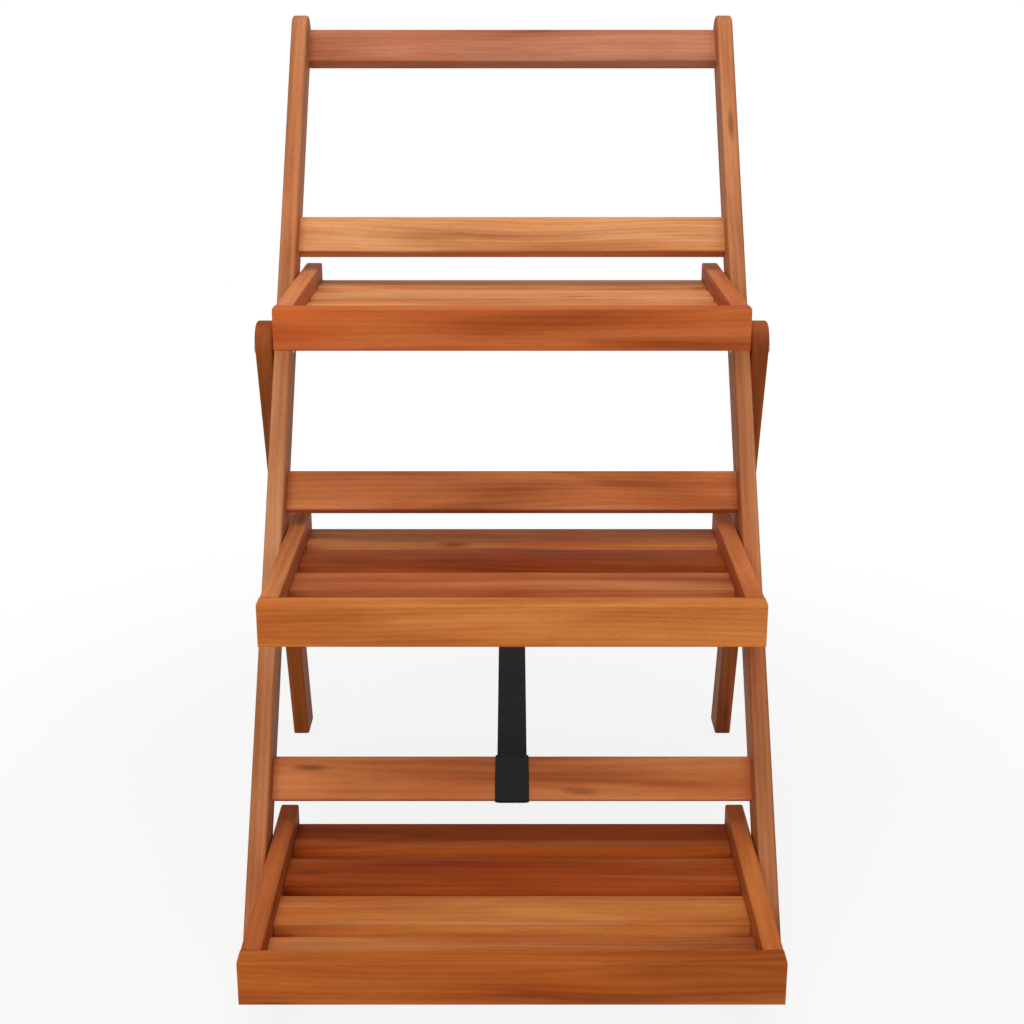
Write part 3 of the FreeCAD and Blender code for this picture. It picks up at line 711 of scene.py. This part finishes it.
# Main colour of each tray's slats, and of each of them from the front to the back.
SLAT_FINISH = {
    "lower": ("#B87038", ("#B26A38", "#BA7238", "#98461A", "#A04A18")),
    "middle": ("#B87040", ("#B46C3C", "#AA6238", "#90461E", "#BE7846")),
    "upper": ("#C88652", ("#C68450", "#C68450", "#CA8854", "#CE8E5A")),
}


def dress(node, material):
    """Gives a node its material."""
    mesh = frame["nodes"][node].data
    if not mesh.materials:
        mesh.materials.append(material)
    for index in range(len(mesh.materials)):
        mesh.materials[index] = material


class PLANTSTAND_OT_boards(bpy.types.Operator):
    """Give the legs, rails, front boards and side rails their oiled acacia"""
    bl_idname = "plantstand.boards"
    bl_label = "Finish the boards"

    def execute(self, context):
        for number, (node, tone, turn, figure, streak) in enumerate(BOARD_FINISH):
            # every board is cut from another part of the log
            shift = (number * 0.613, 0.021 + 0.037 * (number * 7 % 5), 0.026 + 0.029 * (number * 3 % 4))
            dress(node, oiled_acacia(f"oiled_acacia_{node}", tone, turn, shift, figure, streak))
        return {"FINISHED"}


class PLANTSTAND_OT_slats(bpy.types.Operator):
    """Lay the rounded slats of the three trays"""
    bl_idname = "plantstand.slats"
    bl_label = "Lay the slats"

    def execute(self, context):
        tree = slat_row_tree()
        for number, tray in enumerate(TRAYS):
            nodes = [f"{tray}_slat_{place}" for place in range(1, 5)]
            low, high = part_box(nodes[0])
            centre, size = (low + high) / 2, high - low
            tone, row_tones = SLAT_FINISH[tray]
            shift = (0.31 + number * 0.83, 0.045, 0.02 + 0.03 * number)
            material = oiled_acacia(
                f"oiled_acacia_{tray}_slats", tone, ACROSS, shift, 0.9, 0.2, row_tones, high.z)
            mesh = run_tree(tree, f"{tray}_slats", {
                "Start": (low.x, centre.y, centre.z), "Length": size.x, "Width": size.y, "Thickness": size.z,
                "Radius": context.scene.stand_sizes.slat_round, "Pitch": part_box(nodes[1])[0].y - low.y,
                "Count": len(nodes), "Material": material})
            smooth(mesh)
            piece = new_piece(f"{tray}_slats", mesh, f"{tray}_tray")
            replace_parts(piece, *nodes)
        return {"FINISHED"}


class PLANTSTAND_OT_bolts(bpy.types.Operator):
    """Turn the bolts of the trays and the rear legs, and plate the sleeve nuts"""
    bl_idname = "plantstand.bolts"
    bl_label = "Fit the bolts"

    def execute(self, context):
        steel = shared("zinc_plated_steel", plated_steel)
        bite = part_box("lower_side_rail_right")[1].x - BOLT_BITE
        for label, node, inner, pivots in (
                ("tray_bolts", "tray_pivot_bolts", bite, TRAY_PIVOTS.values()),
                ("fold_bolts", "fold_pivot_bolts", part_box("main_leg_right")[0].x, (FOLD_PIVOT,))):
            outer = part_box(node)[1].x
            places = [(side * inner, side * (outer - BOLT_HEAD_THICK), side * outer, pivot.y, pivot.z)
                      for pivot in pivots for side in SIDES]
            mesh = bolt_mesh(label, places, context.scene.stand_sizes.bolt_socket)
            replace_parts(new_piece(label, mesh, "ladder", steel), node)
        dress("fold_pivot_nuts", steel)
        return {"FINISHED"}


class PLANTSTAND_OT_screws(bpy.types.Operator):
    """Drive the screws of the rails, the stretcher and the slats"""
    bl_idname = "plantstand.screws"
    bl_label = "Drive the screws"

    def execute(self, context):
        sizes = context.scene.stand_sizes
        tree = screw_tree()
        groups = {}
        for body, leg, rails, up in (("ladder", "main_leg_right", RAILS, UP_LADDER),
                                     ("rear_frame", "rear_leg_right", ("rear_stretcher",), UP_REAR)):
            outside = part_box(leg)[1].x
            spots = [(side, middle(rail) + up * end * sizes.screw_inset)
                     for rail in rails for side in SIDES for end in (-1, 1)]
            groups[body] = [(Vector((side * outside, spot.y, spot.z)), Vector((side, 0, 0)))
                            for side, spot in spots]
        for tray in TRAYS:
            low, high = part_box(f"{tray}_cleats")
            across = high.x - CLEAT_MIDDLE
            groups[f"{tray}_tray"] = [
                (Vector((side * across, middle(f"{tray}_slat_{place}").y, low.z)), Vector((0, 0, -1)))
                for place in range(1, 5) for side in SIDES]
        values = {"Radius": sizes.screw_head, "Height": SCREW_PROUD,
                  "Material": shared("zinc_plated_steel", plated_steel)}
        for body, points in groups.items():
            mesh = run_tree(tree, f"{body}_screws", values, points)
            smooth(mesh)
            new_piece(f"{body}_screws", mesh, body)
        return {"FINISHED"}


class PLANTSTAND_OT_washers(bpy.types.Operator):
    """Put the washers between the legs, the trays and the rear legs"""
    bl_idname = "plantstand.washers"
    bl_label = "Add the washers"

    def execute(self, context):
        steel = shared("zinc_plated_steel", plated_steel)
        tree = washer_tree()
        for label, inside, outside, pivots, play in (
                ("tray_washers", "lower_side_rail_right", "main_leg_right", TRAY_PIVOTS.values(), 0.5 * MM),
                ("fold_washers", "main_leg_right", "rear_leg_right", (FOLD_PIVOT,), 0.6 * MM)):
            inner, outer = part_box(inside)[1].x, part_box(outside)[0].x
            points = [(Vector((side * (inner + outer) / 2, pivot.y, pivot.z)), Vector((side, 0, 0)))
                      for pivot in pivots for side in SIDES]
            values = {"Radius": context.scene.stand_sizes.washer_radius, "Thickness": outer - inner - play,
                      "Material": steel}
            new_piece(label, run_tree(tree, label, values, points), "ladder")
        return {"FINISHED"}


def rail_corners(rail, up, back, out):
    """Corners of a rail's section, moved out, from its upper front one round by the bottom."""
    centre = middle(rail)
    centre.x = 0
    half_thick, half_high = RAIL_THICK / 2 + out, RAIL_HIGH / 2 + out
    return [centre + up * vertical * half_high + back * deep * half_thick
            for vertical, deep in ((1, -1), (-1, -1), (-1, 1), (1, 1))]


def strap_line():
    """The strap's middle line: where it leaves each loop, and its direction."""
    low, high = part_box("strap_span")
    half, tuck = 1 * MM, 3 * MM
    slope = math.atan2(high.z - low.z - 2 * half, high.y - low.y)
    ahead = Vector((0, math.cos(slope), math.sin(slope)))
    start, end = Vector((0, low.y, low.z + half)), Vector((0, high.y, high.z - half))
    return start - ahead * tuck, end + ahead * tuck, ahead


class PLANTSTAND_OT_strap(bpy.types.Operator):
    """Loop the webbing round the lowest rail and the stretcher, and stretch it between them"""
    bl_idname = "plantstand.strap"
    bl_label = "Thread the strap"

    def execute(self, context):
        sizes = context.scene.stand_sizes
        webbing = shared("woven_webbing", woven_webbing)
        wide, thick = sizes.strap_width, sizes.strap_thick
        for label, rail, up, back, body, node in (
                ("strap_front_loop", "lower_rung", UP_LADDER, BACK_LADDER, "ladder", "strap_loop_front"),
                ("strap_rear_loop", "rear_stretcher", UP_REAR, BACK_REAR, "rear_frame", "strap_loop_rear")):
            path = round_path(rail_corners(rail, up, back, LOOP_PLAY + thick / 2), 2.5 * MM)
            path = subdivided(path + [path[0]], 4 * MM)[:-1]

            def width(share):
                """A little wider where the strap is pulled tight round the lower edge."""
                return wide + 3 * MM + 0.9 * MM * math.cos(math.tau * (share - 0.30))

            mesh = ribbon_mesh(label, path, width, thick, closed=True)
            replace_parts(new_piece(label, mesh, body, webbing), node)

        start, end, ahead = strap_line()
        path = subdivided([start, end], 6 * MM)
        mesh = ribbon_mesh("strap", path, lambda share: wide - 0.6 * MM, thick)
        piece = new_piece("strap", mesh, None, webbing)
        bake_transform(piece)
        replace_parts(piece, "strap_span")
        return {"FINISHED"}


class PLANTSTAND_OT_stitches(bpy.types.Operator):
    """Sew the strap's ends to its loops with rows of stitches across it"""
    bl_idname = "plantstand.stitches"
    bl_label = "Sew the strap"

    def execute(self, context):
        sizes = context.scene.stand_sizes
        tree = stitch_tree()
        start, end, ahead = strap_line()
        off = Vector((0, -ahead.z, ahead.y)) * sizes.strap_thick / 2
        across = Vector((1, 0, 0))
        count = int((sizes.strap_width - 4 * MM) / sizes.stitch_pitch)
        steps = [(place - count / 2) * sizes.stitch_pitch for place in range(count + 1)]
        values = {"Length": sizes.stitch_pitch * 0.75, "Radius": sizes.stitch_radius,
                  "Material": shared("polyester_thread", sewing_thread)}
        for label, body, first, inward in (("strap_front_stitches", "ladder", start, ahead),
                                           ("strap_rear_stitches", "rear_frame", end, -ahead)):
            points = [(first + inward * row + across * step + off * face, across)
                      for row in STITCH_ROWS for step in steps for face in (1, -1)]
            mesh = run_tree(tree, label, values, points)
            smooth(mesh)
            new_piece(label, mesh, body)
        return {"FINISHED"}


class PLANTSTAND_OT_stage(bpy.types.Operator):
    """Lay the floor and set the lamps and the camera"""
    bl_idname = "plantstand.stage"
    bl_label = "Set the stage"

    def execute(self, context):
        scene, stage = context.scene, context.scene.stand_stage
        for stray in [thing for thing in scene.objects if thing.name in ("Cube", "Light", "Camera")]:
            bpy.data.objects.remove(stray)
        build = bmesh.new()
        bmesh.ops.create_circle(build, cap_ends=True, radius=stage.floor_radius,
                                segments=stage.floor_segments)
        mesh = bpy.data.meshes.new("floor")
        build.to_mesh(mesh)
        build.free()
        floor = bpy.data.objects.new("floor", mesh)
        scene.collection.objects.link(floor)
        mesh.materials.append(studio_floor())

        camera = bpy.data.objects.new("camera", bpy.data.cameras.new("camera"))
        scene.collection.objects.link(camera)
        camera.location = stage.camera_place
        camera.rotation_euler = (math.pi / 2 - stage.camera_pitch, 0, 0)
        camera.data.lens = stage.camera_lens
        camera.data.sensor_width = 36
        camera.data.shift_y = stage.camera_rise
        camera.data.clip_start, camera.data.clip_end = 0.05, 50
        scene.camera = camera

        for label, place, size, power in LAMPS:
            lamp = bpy.data.lights.new(label, "AREA")
            lamp.shape, lamp.size = "DISK", size
            lamp.energy = stage.lamp_power * power
            holder = bpy.data.objects.new(label, lamp)
            scene.collection.objects.link(holder)
            holder.location = place
            holder.rotation_euler = (LAMP_AIM - Vector(place)).to_track_quat("-Z", "Y").to_euler()
        scene.world = studio_world()
        scene.view_settings.view_transform = "Standard"
        return {"FINISHED"}


def seen_directly(tree):
    """1 where the camera, a gloss or glass looks straight at the surface."""
    rays = add_node(tree, "ShaderNodeLightPath").outputs
    either = add_node(tree, "ShaderNodeMath", {0: rays["Is Camera Ray"], 1: rays["Is Glossy Ray"]},
                      operation="MAXIMUM")
    return add_node(tree, "ShaderNodeMath", {0: either, 1: rays["Is Transmission Ray"]}, operation="MAXIMUM")


def studio_floor():
    """Matt painted board, lit white: the shadow under the stand stays, and fades out around it."""
    material, tree = new_material("matt_painted_floor")
    place = add_node(tree, "ShaderNodeTexCoord").outputs["Object"]
    roll = add_node(tree, "ShaderNodeTexNoise", {"Vector": place, "Scale": 1 / (3 * MM), "Detail": 2.0})
    bump = add_node(tree, "ShaderNodeBump", {"Height": roll, "Distance": 0.05 * MM, "Strength": 0.3})
    paint = add_node(tree, "ShaderNodeBsdfPrincipled", {
        "Base Color": linear(bpy.context.scene.stand_colours.floor), "Roughness": 0.85, "Normal": bump})
    glow = add_node(tree, "ShaderNodeEmission", {"Color": (1, 1, 1, 1), "Strength": 1.0})
    distance = add_node(tree, "ShaderNodeVectorMath", {0: place}, operation="LENGTH").outputs["Value"]
    fade = add_node(tree, "ShaderNodeMapRange", {
        "Value": distance, "From Min": 0.45, "From Max": 1.1, "To Min": 0.85, "To Max": 1.0},
        interpolation_type="SMOOTHSTEP")
    share = add_node(tree, "ShaderNodeMath", {0: fade, 1: seen_directly(tree)}, operation="MULTIPLY")
    both = add_node(tree, "ShaderNodeMixShader", {0: share, 1: paint, 2: glow})
    add_node(tree, "ShaderNodeOutputMaterial", {"Surface": both})
    return material


def studio_world():
    """A plain white studio: white where it is seen, and a soft even light elsewhere."""
    world = bpy.data.worlds.new("studio")
    world.use_nodes = True
    tree = world.node_tree
    tree.nodes.clear()
    soft = add_node(tree, "ShaderNodeBackground", {"Color": (1, 1, 1, 1), "Strength": 0.28})
    white = add_node(tree, "ShaderNodeBackground", {"Color": (1, 1, 1, 1), "Strength": 1.0})
    both = add_node(tree, "ShaderNodeMixShader", {0: seen_directly(tree), 1: soft, 2: white})
    add_node(tree, "ShaderNodeOutputWorld", {"Surface": both})
    return world


class PLANTSTAND_PT_panel(bpy.types.Panel):
    """Lists the steps that finish the plant stand"""
    bl_idname = "PLANTSTAND_PT_panel"
    bl_label = "Plant stand"
    bl_space_type = "VIEW_3D"
    bl_region_type = "UI"
    bl_category = "Plant stand"

    def draw(self, context):
        for title, group in (("Sizes", context.scene.stand_sizes), ("Colours", context.scene.stand_colours),
                             ("Stage", context.scene.stand_stage)):
            self.layout.label(text=title)
            for name in group.bl_rna.properties.keys():
                if name not in ("rna_type", "name"):
                    self.layout.prop(group, name)
        for operator in OPERATORS:
            self.layout.operator(operator.bl_idname)


GROUPS = {"stand_sizes": StandSizes, "stand_colours": StandColours, "stand_stage": StandStage}
OPERATORS = (PLANTSTAND_OT_boards, PLANTSTAND_OT_slats, PLANTSTAND_OT_bolts, PLANTSTAND_OT_screws,
             PLANTSTAND_OT_washers, PLANTSTAND_OT_strap, PLANTSTAND_OT_stitches, PLANTSTAND_OT_stage)


def register():
    """Registers the classes and hangs the sizes and colours on the scene."""
    for kind in (*GROUPS.values(), *OPERATORS, PLANTSTAND_PT_panel):
        bpy.utils.register_class(kind)
    for name, kind in GROUPS.items():
        setattr(bpy.types.Scene, name, PointerProperty(type=kind))


def unregister():
    """Takes away what register added."""
    for name in GROUPS:
        delattr(bpy.types.Scene, name)
    for kind in (PLANTSTAND_PT_panel, *reversed(OPERATORS), *reversed(list(GROUPS.values()))):
        bpy.utils.unregister_class(kind)


def main():
    """Makes every piece and writes how large the stand is before and after."""
    register()
    bpy.ops.plantstand.boards()
    bpy.ops.plantstand.slats()
    bpy.ops.plantstand.bolts()
    bpy.ops.plantstand.screws()
    bpy.ops.plantstand.washers()
    bpy.ops.plantstand.strap()
    bpy.ops.plantstand.stitches()
    bpy.ops.plantstand.stage()
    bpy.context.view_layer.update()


if __name__ == "__main__":
    main()
